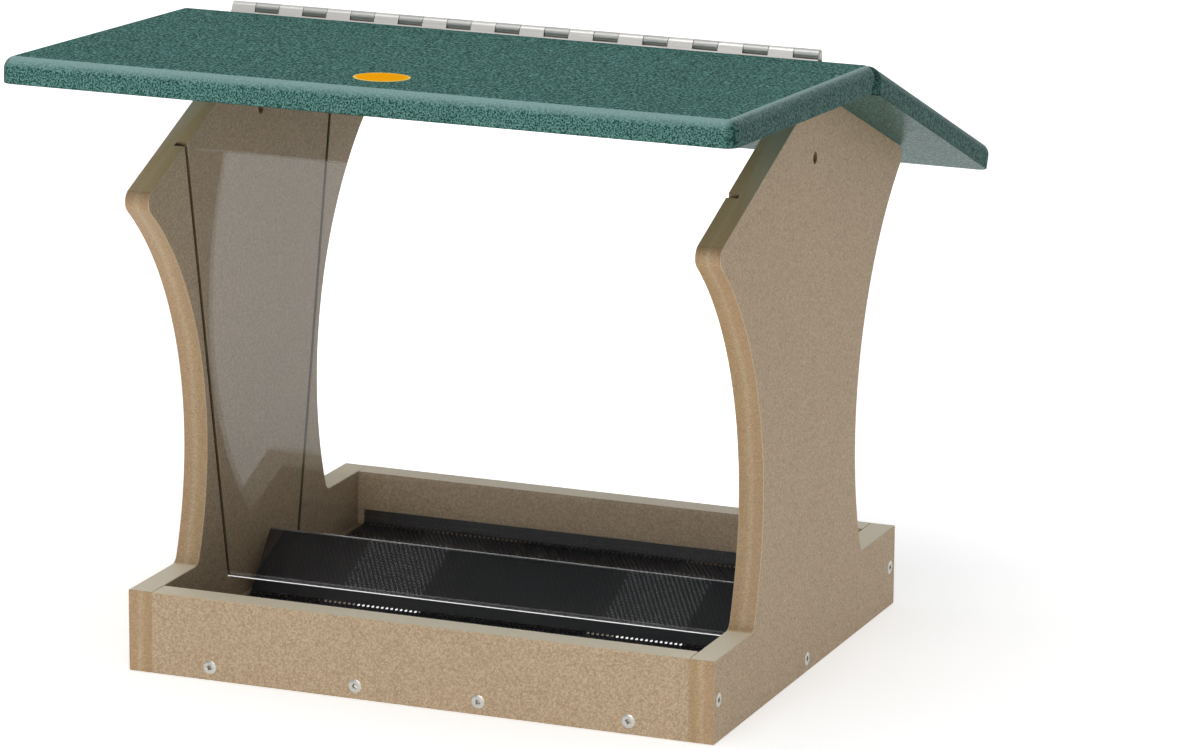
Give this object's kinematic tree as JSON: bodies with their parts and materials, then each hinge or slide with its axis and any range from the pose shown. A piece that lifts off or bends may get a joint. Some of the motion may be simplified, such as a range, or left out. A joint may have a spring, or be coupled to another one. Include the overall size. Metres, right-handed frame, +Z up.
{
  "type": "hopper bird feeder",
  "caption": "House-shaped hopper bird feeder: shaped end panels, seed tray with perforated pan, sloping clear hopper panels and a pitched roof whose front board lifts on a hinge.",
  "frame": {"origin": "middle of the footprint, on the surface that the feeder stands on", "axes": "+X along the ridge to the right as seen from the front, +Y to the rear, +Z up"},
  "size_m": [0.3632, 0.3667, 0.3105],
  "materials": {
    "taupe_board": "speckled taupe recycled plastic board with a fine matt texture",
    "green_board": "speckled green recycled plastic board with a fine matt texture",
    "clear_sheet": "clear polycarbonate sheet with sawn edges",
    "pan_sheet": "near-black coated sheet, bent and perforated",
    "hinge_steel": "stainless steel continuous hinge",
    "screw_steel": "stainless steel countersunk screws"
  },
  "bodies": {
    "feeder": {"end_panel_left": "taupe_board", "end_panel_right": "taupe_board", "front_rail": "taupe_board", "rear_rail": "taupe_board", "floor_slat_left": "taupe_board", "floor_slat_middle": "taupe_board", "floor_slat_right": "taupe_board", "seed_pan": "pan_sheet", "clear_panel_front": "clear_sheet", "clear_panel_rear": "clear_sheet", "roof_rear": "green_board", "hinge_leaf_rear": "hinge_steel", "hinge_pin": "hinge_steel", "hinge_screws_rear": "screw_steel", "front_rail_screws": "screw_steel", "rear_rail_screws": "screw_steel", "end_screws_left": "screw_steel", "end_screws_right": "screw_steel", "roof_screws": "screw_steel"},
    "lid": {"roof_front": "green_board", "hinge_leaf_front": "hinge_steel", "hinge_screws_front": "screw_steel"}
  },
  "joints": [
    {"name": "lid_hinge", "type": "hinge", "parent": "feeder", "child": "lid", "pos_m": [0, 0, 0.30342], "axis": [-1, 0, 0], "range_deg": [-25.4, 199.6]}
  ]
}
